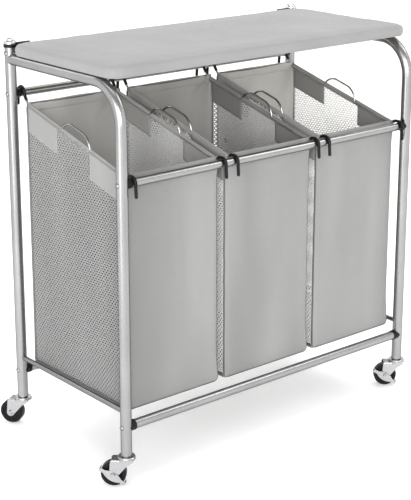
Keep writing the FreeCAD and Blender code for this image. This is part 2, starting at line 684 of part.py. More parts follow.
# Casters --------------------------------------------------------------------------------------------
# Drawn with the stem on the Z axis and the wheel trailing along +X, then turned to each one's heading.
CUP_Z = "crown_z - race_low + race_height + cup_gap"
sockets, stems = [], []
for corner, sx, sy in CORNERS:
    x, y = post_x(sx), post_y(sy)
    foot_z = "crown_z - stem_foot_drop"
    stem = fuse(corner + "_stem", [
        rod(corner + "_stem_rod", "stem_radius", "stem_top_z - (%s)" % foot_z, x, y, foot_z),
        rod(corner + "_stem_foot", "stem_radius + stem_foot_lip", "stem_foot_height", x, y, foot_z),
        rod(corner + "_stem_race", "race_radius - cup_lip", "cup_skirt", x, y, CUP_Z),
        dome(corner + "_stem_cup", "race_radius", "cup_dome", x, y, CUP_Z)])
    foot = rod(corner + "_foot_trim", "race_radius + foot_room", "foot_room", x, y, "post_foot_z")
    foot_hole = rod(corner + "_foot_hole", "stem_radius", "foot_room", x, y, "post_foot_z")
    stems.append(cut(corner + "_trimmed_stem", stem, cut(corner + "_foot_ring", foot, foot_hole)))
    outer = rod(corner + "_socket_body", "post_radius - tube_wall", "socket_top_z - post_foot_z", x, y,
                "post_foot_z")
    hole = rod(corner + "_socket_bore", "stem_radius", "stem_top_z - post_foot_z", x, y, "post_foot_z")
    sockets.append(cut(corner + "_socket", outer, hole))
node(group("socket_set", sockets), "caster_sockets")
node(group("stem_set", stems), "caster_stems")


def fork(name):
    """Pressed fork: two legs under a crown plate, with the lower race round the stem."""
    body = new_body(name)
    legs = sketch(body, "XZ_Plane", name + "_leg_outline")
    outline(legs, [("-1 * fork_nose", "crown_z - fork_nose_drop"),
                   ("-1 * fork_throat", "crown_z - fork_throat_drop"),
                   ("trail - leg_front", "wheel_radius - foot_front_drop"),
                   ("trail + foot_rear", "wheel_radius - foot_rear_drop"),
                   ("trail + fork_foot_radius", "wheel_radius"),
                   ("trail + leg_rear", "crown_z - leg_rear_drop"),
                   ("trail + crown_tail", "crown_z"), ("-1 * fork_nose", "crown_z")])
    blank = pad(body, legs, "2 * fork_half_width", name + "_legs", both_ways=True)
    crown = size("crown_z")
    rounded(body, blank,
            lambda middle, direction: abs(middle.z - crown) < 1e-3 and abs(direction.y) < 1e-6,
            "shoulder_round", name + "_shoulders")
    feet = sketch(body, "XZ_Plane", name + "_feet_outline")
    disc(feet, "fork_foot_radius", "trail", "wheel_radius")
    pad(body, feet, "2 * fork_half_width", name + "_feet", both_ways=True)
    race = sketch(body, "XY_Plane", name + "_race_outline", "crown_z - race_low")
    disc(race, "race_radius")
    pad(body, race, "race_height", name + "_race")
    wheel_room = sketch(body, "XY_Plane", name + "_wheel_room")
    inner = "(fork_half_width - fork_skin)"
    rectangle(wheel_room, "-2 * fork_nose", "2 * (trail + fork_foot_radius)", "-1 * " + inner, inner)
    pocket(body, wheel_room, "crown_z - fork_skin", name + "_wheel_pocket", reverse=True)
    stem_hole = sketch(body, "XY_Plane", name + "_stem_hole")
    disc(stem_hole, "stem_radius + pin_clearance")
    pocket(body, stem_hole, "2 * crown_z", name + "_stem_pocket", reverse=True)
    axle_hole = sketch(body, "XZ_Plane", name + "_axle_hole")
    disc(axle_hole, "axle_radius", "trail", "wheel_radius")
    pocket(body, axle_hole, "4 * fork_half_width", name + "_axle_pocket", both_ways=True)
    return body


def wheel(name):
    """Solid wheel: tread with round shoulders, a shallow recess and a hub boss, about the Y axis."""
    bore = "axle_radius + pin_clearance"
    near_half = [(bore, "hub_half_width"), ("hub_radius", "hub_half_width"),
                 ("hub_radius + hub_taper", "wheel_half_width - wheel_recess"),
                 ("recess_radius", "wheel_half_width - wheel_recess"),
                 ("recess_radius + recess_taper", "wheel_half_width"),
                 ("wheel_radius - tread_shoulder", "wheel_half_width"),
                 ("wheel_radius - shoulder_step", "wheel_half_width - shoulder_low"),
                 ("wheel_radius", "wheel_half_width - tread_inset")]
    far_half = [(radius, "-1 * (%s)" % across) for radius, across in reversed(near_half)]
    body = new_body(name)
    section = sketch(body, "XY_Plane", name + "_section")
    outline(section, near_half + far_half)
    revolve(body, section, name + "_turned")
    return body


def axle(name, lever):
    """Axle bolt along the Y axis, with a nut outside the lever or leg and a round head on the far leg."""
    reach = "(fork_half_width%s)" % (" + lever_skin + 2 * moving_gap" if lever else "")
    shank = rod(name + "_shank", "axle_radius", "fork_half_width + %s + axle_end" % reach,
                y="-1 * fork_half_width", turn=ALONG_Y)
    head = rod(name + "_head", "axle_head_radius", "axle_head_height",
               y="-1 * fork_half_width - axle_head_height", turn=ALONG_Y)
    nut = doc.addObject("Part::Prism", name + "_nut")
    nut.Polygon = 6
    nut.Placement.Rotation = ALONG_Y
    bind(nut, Circumradius="nut_radius", Height="nut_height")
    move(nut, y=reach)
    return fuse(name, [shank, head, nut])


def brake_lever(name):
    """Leaf-shaped rocker outside the fork, with a foot tab bent over the tread at each end."""
    inner = "fork_half_width + moving_gap"
    leaf_radius = "((leaf_half_length ^ 2 + leaf_half_width ^ 2) / (2 * leaf_half_width))"
    lens = []
    for side, sign in (("upper", -1), ("lower", 1)):
        centre_z = "%d * (%s - leaf_half_width) - leaf_drop" % (sign, leaf_radius)
        lens.append(rod(name + "_" + side, leaf_radius, "lever_skin", y=inner, z=centre_z, turn=ALONG_Y))
    leaf = doc.addObject("Part::MultiCommon", name + "_leaf")
    leaf.Shapes = lens
    low = "-1 * tab_width / 2 - leaf_drop"
    rim_x = "(wheel_radius + tab_gap)"
    ends = (("front", "-1 * " + rim_x, "-1 * %s - lever_skin" % rim_x),
            ("rear", rim_x + " - tab_arm", rim_x))
    tabs = []
    for end, arm_x, tab_x in ends:
        tabs.append(block(name + "_" + end + "_arm", "tab_arm", "lever_skin", "tab_width", arm_x, inner, low))
        tabs.append(block(name + "_" + end + "_tab", "lever_skin", "lever_skin + tab_reach", "tab_width",
                          tab_x, inner + " - tab_reach", low))
    hole = rod(name + "_hole", "axle_radius + pin_clearance", "lever_skin + 2", y=inner + " - 1",
               turn=ALONG_Y)
    return cut(name, fuse(name + "_solid", [leaf] + tabs), hole)


def at_heading(piece, corner, sx, sy, label):
    """Turn a caster piece to its corner's heading and stand it under that post."""
    piece.Placement.Rotation = FreeCAD.Rotation(Vector(0, 0, 1), 1)
    node(piece, label, post_x(sx), post_y(sy))
    piece.setExpression("Placement.Rotation.Angle", formula(corner + "_angle"))


def at_axle(name, piece):
    """Move a piece drawn about the Y axis to the wheel's centre, ready to be turned with the fork."""
    move(piece, "trail", "0", "wheel_radius")
    return group(name, [piece])


for corner, sx, sy in CORNERS:
    braked = sy < 0
    at_heading(fork(corner + "_fork_body"), corner, sx, sy, corner + "_caster_fork")
    turned = at_axle(corner + "_wheel_at_axle", wheel(corner + "_wheel_body"))
    at_heading(turned, corner, sx, sy, corner + "_caster_wheel")
    bolt = at_axle(corner + "_axle_at_fork", axle(corner + "_axle_bolt", braked))
    at_heading(bolt, corner, sx, sy, corner + "_caster_axle")
    if braked:
        lever = brake_lever(corner + "_lever")
        lever.Placement.Rotation = FreeCAD.Rotation(Vector(0, 1, 0), size("lever_tilt"))
        at_heading(at_axle(corner + "_lever_at_axle", lever), corner, sx, sy, corner + "_brake_lever")

# Stand the row's origin under the middle of the whole assembly --------------------------------------
doc.recompute()
box = Part.makeCompound([piece.Shape for piece in nodes.values()]).optimalBoundingBox(False, False)
for alias, middle in (("origin_x", (box.XMin + box.XMax) / 2), ("origin_y", (box.YMin + box.YMax) / 2)):
    sizes.set(sizes.getCellFromAlias(alias), "%.4f" % middle)
doc.recompute()

failed = [piece.Name for piece in doc.Objects if {"Invalid", "Error"} & set(piece.State)]
failed += [label for label, piece in nodes.items() if piece.Shape.isNull() or not piece.Shape.isValid()]
if failed:
    raise SystemExit("not built: " + ", ".join(sorted(set(failed))))
os.makedirs("parts", exist_ok=True)
for label, piece in nodes.items():
    piece.Shape.exportStep("parts/%s.step" % label)
print("%d sub-parts, origin at %.4f, %.4f, box %.1f x %.1f x %.1f" % (
    len(nodes), size("origin_x"), size("origin_y"), box.XLength, box.YLength, box.ZLength))
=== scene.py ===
"""Looks for the laundry sorter on wheels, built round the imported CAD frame. Metres, row frame."""
import json
import math
import bmesh
import bpy
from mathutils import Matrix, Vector, noise


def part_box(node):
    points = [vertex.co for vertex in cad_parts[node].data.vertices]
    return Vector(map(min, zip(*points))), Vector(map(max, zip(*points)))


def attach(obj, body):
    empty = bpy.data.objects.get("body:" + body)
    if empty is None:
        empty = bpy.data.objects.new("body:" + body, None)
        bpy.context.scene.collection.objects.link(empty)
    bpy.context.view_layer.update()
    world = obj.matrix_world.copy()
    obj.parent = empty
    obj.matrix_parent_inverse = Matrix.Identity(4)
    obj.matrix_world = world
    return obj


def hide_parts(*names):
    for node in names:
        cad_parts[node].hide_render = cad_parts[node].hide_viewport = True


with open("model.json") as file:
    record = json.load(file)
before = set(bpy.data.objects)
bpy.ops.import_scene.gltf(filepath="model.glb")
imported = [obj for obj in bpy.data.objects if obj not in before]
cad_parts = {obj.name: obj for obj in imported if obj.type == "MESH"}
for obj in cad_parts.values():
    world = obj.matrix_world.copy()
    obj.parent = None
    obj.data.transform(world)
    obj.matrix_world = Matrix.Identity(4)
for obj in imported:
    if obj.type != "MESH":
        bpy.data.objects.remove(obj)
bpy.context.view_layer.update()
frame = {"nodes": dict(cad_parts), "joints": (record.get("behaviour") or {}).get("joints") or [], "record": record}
nodes = frame["nodes"]
MM = 0.001


def centre(name):
    low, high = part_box(name)
    return (low + high) / 2


mid_x = (centre("left_rear_post").x + centre("right_rear_post").x) / 2
mid_y = centre("upper_front_bar").y / 2 + centre("upper_rear_bar").y / 2


# Camera ---------------------------------------------------------------------------------------------
# the sensor's width spans the picture's longer side, its height
PICTURE_HEIGHT, FOCAL_PIXELS, SENSOR_WIDTH = 500, 1400, 36
CAMERA_LEFT, CAMERA_FRONT, CAMERA_HEIGHT = 1.8414, 2.1670, 1.2782
CAMERA_YAW, CAMERA_PITCH = 0.6965, 0.2722
camera_data = bpy.data.cameras.new("camera")
camera = bpy.data.objects.new("camera", camera_data)
bpy.context.scene.collection.objects.link(camera)
camera_data.sensor_width = SENSOR_WIDTH
camera_data.lens = SENSOR_WIDTH * FOCAL_PIXELS / PICTURE_HEIGHT
camera_data.shift_y = -0.12
camera.location = (mid_x - CAMERA_LEFT, mid_y - CAMERA_FRONT, CAMERA_HEIGHT)
camera.rotation_euler = (math.pi / 2 - CAMERA_PITCH, 0, -CAMERA_YAW)
camera_data.clip_start, camera_data.clip_end = 0.1, 50
bpy.context.scene.camera = camera
bpy.context.scene.view_settings.view_transform = "Standard"


# Materials ------------------------------------------------------------------------------------------
def grey(byte, warm=0.0):
    """A linear colour from a display grey of 0 to 255, a little warmer or cooler."""
    level = ((byte / 255 + 0.055) / 1.055) ** 2.4
    return (level * (1 + warm * 0.3), level, level * (1 - warm * 1.5), 1)


class Shader:
    """A node material with one Principled shader and a few helpers for patterns."""

    def __init__(self, name, roughness=0.5, metallic=0.0, **sockets):
        self.material = bpy.data.materials.new(name)
        self.material.use_nodes = True
        self.tree = self.material.node_tree
        self.shader = self.tree.nodes["Principled BSDF"]
        self.shader.inputs["Roughness"].default_value = roughness
        self.shader.inputs["Metallic"].default_value = metallic
        for label, value in sockets.items():
            self.shader.inputs[label.replace("_", " ")].default_value = value
        self.place = self.add("ShaderNodeTexCoord").outputs["Object"]

    def add(self, kind, **settings):
        made = self.tree.nodes.new(kind)
        for label, value in settings.items():
            setattr(made, label, value)
        return made

    def link(self, source, target):
        self.tree.links.new(source, target)

    def stretched(self, scale):
        mapping = self.add("ShaderNodeMapping")
        mapping.inputs["Scale"].default_value = scale
        self.link(self.place, mapping.inputs["Vector"])
        return mapping.outputs["Vector"]

    def clouds(self, scale, detail=3.0, stretch=(1, 1, 1)):
        texture = self.add("ShaderNodeTexNoise")
        texture.inputs["Scale"].default_value = scale
        texture.inputs["Detail"].default_value = detail
        self.link(self.stretched(stretch), texture.inputs["Vector"])
        return texture.outputs["Fac"]

    def stripes(self, period, direction):
        texture = self.add("ShaderNodeTexWave", bands_direction=direction)
        texture.inputs["Scale"].default_value = math.pi / 10 / period
        self.link(self.place, texture.inputs["Vector"])
        return texture.outputs["Fac"]

    def maths(self, operation, first, second):
        made = self.add("ShaderNodeMath", operation=operation)
        for socket, value in zip(made.inputs, (first, second)):
            if isinstance(value, (int, float)):
                socket.default_value = value
            else:
                self.link(value, socket)
        return made.outputs[0]

    def ramp(self, source, low, high, start=0.3, end=0.7):
        made = self.add("ShaderNodeValToRGB")
        made.color_ramp.elements[0].position, made.color_ramp.elements[0].color = start, low
        made.color_ramp.elements[1].position, made.color_ramp.elements[1].color = end, high
        self.link(source, made.inputs["Fac"])
        return made.outputs["Color"]

    def levels(self, source, low, high, start=0.3, end=0.7):
        made = self.add("ShaderNodeMapRange")
        for label, value in (("From Min", start), ("From Max", end), ("To Min", low), ("To Max", high)):
            made.inputs[label].default_value = value
        self.link(source, made.inputs["Value"])
        return made.outputs["Result"]

    def colour(self, source):
        self.link(source, self.shader.inputs["Base Color"])

    def rough(self, source):
        self.link(source, self.shader.inputs["Roughness"])

    def bump(self, source, distance, strength=1.0):
        made = self.add("ShaderNodeBump")
        made.inputs["Distance"].default_value = distance
        made.inputs["Strength"].default_value = strength
        self.link(source, made.inputs["Height"])
        previous = self.shader.inputs["Normal"]
        if previous.is_linked:
            self.link(previous.links[0].from_socket, made.inputs["Normal"])
        self.link(made.outputs["Normal"], self.shader.inputs["Normal"])
        return self


def metal(name, level, warm, roughness, spread, edge, grain=600):
    made = Shader(name, roughness=roughness, metallic=1.0, Specular_Tint=grey(edge))
    clouds = made.clouds(grain, 2)
    wide = made.clouds(9, 3)
    made.colour(made.ramp(wide, grey(level - 6, warm), grey(level + 4, warm)))
    made.rough(made.levels(clouds, roughness - spread, roughness + spread))
    made.bump(clouds, 0.04 * MM)
    return made.material


def cloth(name, level, warm, period=1.1 * MM, mottle_and_fold_shade=5, sheen=0.25, depth=0.12 * MM):
    """Plain-woven cloth: two crossed sets of threads, a soft tone that varies at random and is drawn into tall
    upright streaks of painted shade for soft folds, and a few thicker threads.
    """
    made = Shader(name, roughness=0.85, Sheen_Weight=sheen, Sheen_Roughness=0.4)
    made.shader.inputs["Specular IOR Level"].default_value = 0.25
    threads = made.maths("MAXIMUM", made.stripes(period, "X"), made.stripes(period, "Z"))
    threads = made.maths("MAXIMUM", threads, made.stripes(period, "Y"))
    slubs = made.clouds(60, 3, (1, 1, 14))
    # tall upright streaks of tone: partly random, partly painted shade standing in for soft folds
    wide = made.clouds(9, 1, (1, 1, 0.22))
    tone = made.maths("ADD", made.maths("MULTIPLY", wide, 0.8), made.maths("MULTIPLY", slubs, 0.2))
    made.colour(made.ramp(tone, grey(level - mottle_and_fold_shade, warm), grey(level + mottle_and_fold_shade, warm), 0.35, 0.65))
    made.rough(made.levels(slubs, 0.78, 0.92))
    made.bump(threads, depth).bump(slubs, 0.2 * MM, 0.5)
    return made.material


def plastic(name, level, roughness):
    made = Shader(name, roughness=roughness, Specular_IOR_Level=0.2)
    grain = made.clouds(900, 2)
    scuffs = made.clouds(45, 5)
    made.colour(made.ramp(scuffs, grey(level), grey(level + 9), 0.45, 0.8))
    made.rough(made.levels(scuffs, roughness - 0.06, roughness + 0.12))
    made.bump(grain, 0.03 * MM)
    return made.material


SILVER = metal("silver_paint", 160, 0.0, 0.27, 0.04, 130, 1500)
ZINC = metal("zinc_plate", 180, -0.012, 0.24, 0.06, 90, 350)
CHROME = metal("polished_chrome", 204, -0.005, 0.08, 0.02, 120, 200)
WIRE = metal("steel_wire", 158, 0.005, 0.22, 0.05, 60, 800)
# side rails: a wire-like steel, partly its own darker metal and partly painted shade that the bags cast on it from
# above
SHADED_RAIL_STEEL = metal("rail_steel_painted_shade", 140, 0.0, 0.24, 0.04, 90, 1500)
BLACK_PLASTIC = plastic("black_plastic", 12, 0.40)
BLACK_STEEL = plastic("black_steel", 14, 0.42)
WHEEL = plastic("wheel_black", 9, 0.42)
FABRIC = cloth("bag_fabric", 132, 0.016, mottle_and_fold_shade=8)
HEM = cloth("hem_cloth", 138, 0.006, mottle_and_fold_shade=4)
PATCH = cloth("patch_cloth", 136, 0.008, mottle_and_fold_shade=4)
THREAD = cloth("stitch_thread", 166, 0.0, period=0.4 * MM, mottle_and_fold_shade=3)
BINDING = cloth("binding_tape", 88, 0.008, mottle_and_fold_shade=4)
NET = cloth("mesh_yarn", 130, 0.004, period=0.9 * MM, mottle_and_fold_shade=6, depth=0.08 * MM)
# the same yarn painted near white, for light that comes in through the gaps between the bags
NET_PAINTED_LIGHT = cloth("mesh_yarn_painted_light", 225, 0.004, period=0.9 * MM, mottle_and_fold_shade=5, depth=0.08 * MM)
# light comes into the bags from the right and the back, so each has its own tone inside, which is painted light
# and shade: the inside of the net is painted light shining through it, nearly white in the right bag, and the
# patches' darker inside is partly a coated cloth, partly painted shade
LINING = {bag: cloth("bag_lining_painted_light_" + bag, tone, 0.03, mottle_and_fold_shade=6)
          for bag, tone in (("left", 160), ("middle", 158), ("right", 184))}
NET_INSIDE = {bag: cloth("mesh_inside_painted_light_" + bag, tone, 0.008, period=0.9 * MM, mottle_and_fold_shade=4, depth=0.08 * MM)
              for bag, tone in (("left", 186), ("middle", 188), ("right", 252))}
PATCH_INSIDE = {bag: cloth("patch_lining_" + bag, tone, 0.02, mottle_and_fold_shade=4)
                for bag, tone in (("left", 138), ("middle", 120), ("right", 124))}
COVER = cloth("cover_cloth", 139, 0.0, period=0.9 * MM, mottle_and_fold_shade=2, sheen=0.15)
FOAM = cloth("foam", 225, 0.03)
SCREW = metal("screw_steel", 150, 0.0, 0.22, 0.05, 40, 500)


def board_panel_material():
    made = Shader("fibreboard", roughness=0.75)
    fibres = made.clouds(55, 6, (1, 6, 6))
    specks = made.clouds(700, 2)
    both = made.maths("ADD", made.maths("MULTIPLY", fibres, 0.6), made.maths("MULTIPLY", specks, 0.4))
    made.colour(made.ramp(both, (0.20, 0.13, 0.075, 1), (0.42, 0.30, 0.19, 1), 0.35, 0.68))
    made.bump(both, 0.3 * MM)
    return made.material


FIBREBOARD = board_panel_material()


def paint(obj, *materials):
    obj.data.materials.clear()
    for material in materials:
        obj.data.materials.append(material)
    return obj


SLOT_MATERIALS = {
    "silver_paint": SILVER, "zinc": ZINC, "polished_chrome": CHROME, "black_plastic": BLACK_PLASTIC,
    "black_steel": BLACK_STEEL, "wheel_black": WHEEL, "bag_fabric": FABRIC, "bag_mesh": NET,
    "steel_wire": WIRE, "fibreboard": FIBREBOARD, "foam": FOAM, "cover_fabric": COVER,
}
for part in frame["record"]["subparts"]:
    paint(nodes[part["node"]], SLOT_MATERIALS[part["material_slot"]])
for name in ("frame_screws", "hinge_bolts"):
    paint(nodes[name], SCREW)
# the side rails take the darker steel with painted shade
for name in nodes:
    if "side_rail" in name:
        paint(nodes[name], SHADED_RAIL_STEEL)


# Mesh helpers ---------------------------------------------------------------------------------------
def new_object(name, vertices, faces, material):
    mesh = bpy.data.meshes.new(name)
    mesh.from_pydata([tuple(v) for v in vertices], [], faces)
    mesh.validate()
    shape = bmesh.new()
    shape.from_mesh(mesh)
    bmesh.ops.recalc_face_normals(shape, faces=shape.faces)
    shape.to_mesh(mesh)
    shape.free()
    mesh.update()
    obj = bpy.data.objects.new(name, mesh)
    bpy.context.scene.collection.objects.link(obj)
    mesh.shade_smooth()
    return paint(obj, material)


def facing(obj, direction):
    """Turn an open sheet so that its first face looks in a direction."""
    if obj.data.polygons[0].normal.dot(Vector(direction)) < 0:
        obj.data.flip_normals()
    return obj


def finish_piece(obj, body, slot, *replaced):
    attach(obj, body)
    if replaced:
        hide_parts(*replaced)


def apply_modifiers(obj):
    graph = bpy.context.evaluated_depsgraph_get()
    baked = bpy.data.meshes.new_from_object(obj.evaluated_get(graph))
    old = obj.data
    obj.modifiers.clear()
    obj.data = baked
    bpy.data.meshes.remove(old)


def thicken(obj, thickness, inside):
    """Give a sheet its thickness, with another material on the side that its faces turn away from."""
    obj.data.materials.append(inside)
    modifier = obj.modifiers.new("thickness", "SOLIDIFY")
    modifier.thickness, modifier.offset = thickness, 0.0
    modifier.material_offset = 1
    apply_modifiers(obj)


def grid_faces(rows, columns, wrap=False):
    faces = []
    for r in range(rows - 1):
        for c in range(columns if wrap else columns - 1):
            near, far = r * columns + c, r * columns + (c + 1) % columns
            faces.append((near, far, far + columns, near + columns))
    return faces


def smooth_step(low, high, value):
    t = min(max((value - low) / (high - low), 0), 1)
    return t * t * (3 - 2 * t)


def spread(low, high, steps):
    """Evenly spaced values from low to high, both ends included."""
    return [low + (high - low) * k / steps for k in range(steps + 1)]


def full_turn(count):
    return [2 * math.pi * k / count for k in range(count)]


def oval(middle, first, second, first_radius, second_radius, count):
    return [middle + first * (first_radius * math.cos(a)) + second * (second_radius * math.sin(a))
            for a in full_turn(count)]


def curve(start, corner, end, t):
    """A point on the bend from start to end that leans towards the corner."""
    return start * (1 - t) ** 2 + corner * (2 * t * (1 - t)) + end * t ** 2


def loft(name, sections, material, closed=False):
    """A tube through closed sections with equal counts: capped, or joined end to end if closed."""
    count = len(sections[0])
    vertices = [point for section in sections for point in section]
    last = len(vertices) - count
    faces = grid_faces(len(sections), count, wrap=True)
    if closed:
        faces += [(last + j, last + (j + 1) % count, (j + 1) % count, j) for j in range(count)]
    else:
        faces.append(tuple(reversed(range(count))))
        faces.append(tuple(range(last, len(vertices))))
    return new_object(name, vertices, faces, material)


# Bags -----------------------------------------------------------------------------------------------
BAG_WIDTH, FRONT_Y, BACK_Y = 230 * MM, -165 * MM, 157.5 * MM
FLOOR_Z, FRONT_RIM, BACK_RIM = 141 * MM, 612 * MM, 696 * MM
PITCH = 248.5 * MM
FOLD, SKIN = 8 * MM, 1.3 * MM
PATCH_LONG, PATCH_DROP = 108 * MM, 57 * MM
HALF = BAG_WIDTH / 2
SLOPE = (BACK_RIM - FRONT_RIM) / (BACK_Y - FRONT_Y)
HEM_DROP, HEM_THICK, HEM_PRESSED, WIRE_DROP = 14 * MM, 6.4 * MM, 3 * MM, 8 * MM
HEM_INSET, HEM_END, HEM_LEAN, RIM_GAP = 6 * MM, 2.5 * MM, 2.6 * MM, 0.6 * MM
END_HEM_DROP, END_HEM_INSET, END_HEM_BULGE = 17 * MM, 5 * MM, 1.9 * MM
RIM_SAG, BELLY, RIDGE, HOLLOW = 2.2 * MM, 2.2 * MM, 4.2 * MM, 3.4 * MM
TAPE_BULGE, WELT, BACK_WELT = 1.1 * MM, 1.2 * MM, 1.3 * MM
PATCH_TOP, PATCH_END, PATCH_THICK, SEWING_INSET = 5 * MM, 7 * MM, 1.8 * MM, 4 * MM
STITCH_LONG, STITCH_GAP = 3.0 * MM, 1.6 * MM
SIGN = {"left": -1, "right": 1}
# the net and its binding start this far inside a panel's outer face
NET_INSET = {"left": 7.6 * MM, "right": 9 * MM}
BINDING_INSET = {"left": 5.2 * MM, "right": 9 * MM}
# how far round a panel's rounded upright edge its welt sits, in degrees from the face
WELT_TURN = {"left": 72, "right": 52}


def rim(y):
    return FRONT_RIM + (y - FRONT_Y) * SLOPE


def bag_point(x, y, z, index):
    """From the bag's own middle, with y and z as in the frame, to the row frame."""
    return Vector((mid_x + (index - 1) * PITCH + x, mid_y + y, z))


def soft(point, seed, size_mm, amount_mm):
    """Smooth noise for gentle folds, the same on every run."""
    place = Vector(point) * (1000 / size_mm) + Vector((seed * 7.3, seed * 3.1, 0))
    return noise.noise(place) * amount_mm * MM


def rim_sag(t):
    """How far a bag's front or back edge hangs down at t from 0 to 1 between its hooks."""
    return RIM_SAG * (1 - (2 * t - 1) ** 2)


def channel_profile(columns, left_radius, right_radius):
    """Across the strip: (x, depth behind the face), with quarter-round edges and a flat middle."""
    steps = 6
    turns = spread(0, math.pi / 2, steps)
    left = [(-HALF + left_radius * (1 - math.sin(a)), left_radius * (1 - math.cos(a)))
            for a in reversed(turns)]
    right = [(HALF - right_radius * (1 - math.sin(a)), right_radius * (1 - math.cos(a))) for a in turns]
    low, high = left[-1][0], right[0][0]
    flat = [(low + (high - low) * k / columns, 0.0) for k in range(1, columns)]
    return left + flat + right


def strip_path():
    """The U-shaped run of the cloth strip in the side plane: (y, z, inward y, inward z)."""
    path = []
    inset = SKIN / 2
    rows, fold_rows, floor_rows = 58, 6, 30
    low = FLOOR_Z + FOLD
    for k in range(rows):
        path.append((FRONT_Y + inset, FRONT_RIM + (low - FRONT_RIM) * k / rows, 1, 0))
    for k in range(fold_rows):
        a = math.pi / 2 * k / fold_rows
        path.append((FRONT_Y + FOLD - (FOLD - inset) * math.cos(a),
                     FLOOR_Z + FOLD - (FOLD - inset) * math.sin(a), math.cos(a), math.sin(a)))
    for k in range(floor_rows):
        y = FRONT_Y + FOLD + (BACK_Y - FRONT_Y - 2 * FOLD) * k / floor_rows
        path.append((y, FLOOR_Z + inset, 0, 1))
    for k in range(fold_rows):
        a = math.pi / 2 * k / fold_rows
        path.append((BACK_Y - FOLD + (FOLD - inset) * math.sin(a),
                     FLOOR_Z + FOLD - (FOLD - inset) * math.cos(a), -math.sin(a), math.cos(a)))
    for k in range(rows + 5):
        path.append((BACK_Y - inset, low + (BACK_RIM - low) * k / (rows + 4), -1, 0))
    return path


def edge_radius(z, side, front):
    """The cloth turns the upright corners softly, and more tightly near the floor and on its left."""
    top = FRONT_RIM if front else BACK_RIM
    middle = smooth_step(0, 0.16, (z - FLOOR_Z) / (top - FLOOR_Z)) * smooth_step(0, 0.08, (top - z) / top)
    return (3.5 + ((2.0 if side == "left" else 9.0) * middle)) * MM


def face_relief(x, z, front, seed):
    """How far the cloth of a front or back panel stands out from flat, in metres."""
    top = FRONT_RIM if front else BACK_RIM
    across = x / HALF
    up = min(max((z - FLOOR_Z) / (top - FLOOR_Z), 0), 1)
    edge = max(0.0, 1 - abs(across) ** 4)
    belly = BELLY * edge * math.sin(math.pi * up) ** 0.8
    folds = soft((x, 0, z * 0.16), seed, size_mm=58, amount_mm=3.4)
    folds *= edge * smooth_step(0.0, 0.25, up) * (0.5 + 0.5 * up)
    ripples = soft((x, 0, z * 0.35), seed + 30, size_mm=24, amount_mm=1.0) * edge * smooth_step(0.1, 0.6, up)
    pull = 0.0
    for side in (-1, 1):
        # the hooks hold up the two top corners, so the cloth folds from each one down towards the middle
        down, inward = top - z, HALF - side * x
        off_ridge = inward - 0.90 * down - 5 * MM
        off_hollow = off_ridge - 14 * MM
        along = math.hypot(down, inward)
        reach = math.exp(-(along / (62 * MM)) ** 2) * smooth_step(6 * MM, 20 * MM, along)
        pull += RIDGE * math.exp(-(off_ridge / (8 * MM)) ** 2) * reach
        pull -= HOLLOW * math.exp(-(off_hollow / (9 * MM)) ** 2) * reach
    return belly + folds + ripples + pull * (1.0 if front else 0.6)


def bag_shell(bag, index):
    """Front, floor and back of one bag in a single soft strip with rounded side edges."""
    path = strip_path()
    vertices = []
    for y, z, in_y, in_z in path:
        front = in_y > 0 or (in_y == 0 and y < (FRONT_Y + BACK_Y) / 2)
        for x, depth in channel_profile(44, edge_radius(z, "left", front), edge_radius(z, "right", front)):
            out = 0.0
            if abs(in_y) == 1:
                out = face_relief(x, z, front, index * 2 + (not front))
            elif in_y == 0:
                out = soft((x, y, 0), 9 + index, size_mm=70, amount_mm=1.6) - MM * (1 - (x / HALF) ** 2)
            shift = depth - out
            top = depth * SLOPE if abs(in_y) == 1 and z > FRONT_RIM - 1e-6 and front else 0.0
            vertices.append(bag_point(x, y + in_y * shift, z + in_z * shift + top, index))
    faces = grid_faces(len(path), len(vertices) // len(path))
    made = new_object(bag + "_bag_cloth", vertices, faces, FABRIC)
    facing(made, (0, -1, 0))
    thicken(made, SKIN, LINING[bag])
    finish_piece(made, bag + "_bag", "bag_fabric", bag + "_bag_fabric")


CELL_Y, CELL_Z = 8.7 * MM, 9.8 * MM
HOLE_WIDE, HOLE_HIGH = 0.67, 0.28
NET_LEAN, NET_THICK, KNOT_RELIEF = -0.055, 0.4 * MM, 0.45 * MM


def side_bow(y, z, seed):
    """How far the mesh side stands out from flat: it hangs slack between its seams."""
    across = 2 * (y - FRONT_Y) / (BACK_Y - FRONT_Y) - 1
    up = (z - FLOOR_Z) / (rim(y) - FLOOR_Z)
    edge = max(0.0, 1 - abs(across) ** 3) * max(0.0, math.sin(math.pi * min(max(up, 0.0), 1.0))) ** 0.7
    return edge * (0.8 * MM + soft((y, 0, z * 0.5), seed, size_mm=90, amount_mm=1.6))


def side_seed(index, sign):
    return 20 + index * 2 + (sign > 0)


def in_patch(y, z):
    near_end = y < FRONT_Y + PATCH_LONG or y > BACK_Y - PATCH_LONG
    return near_end and rim(y) - z < PATCH_DROP


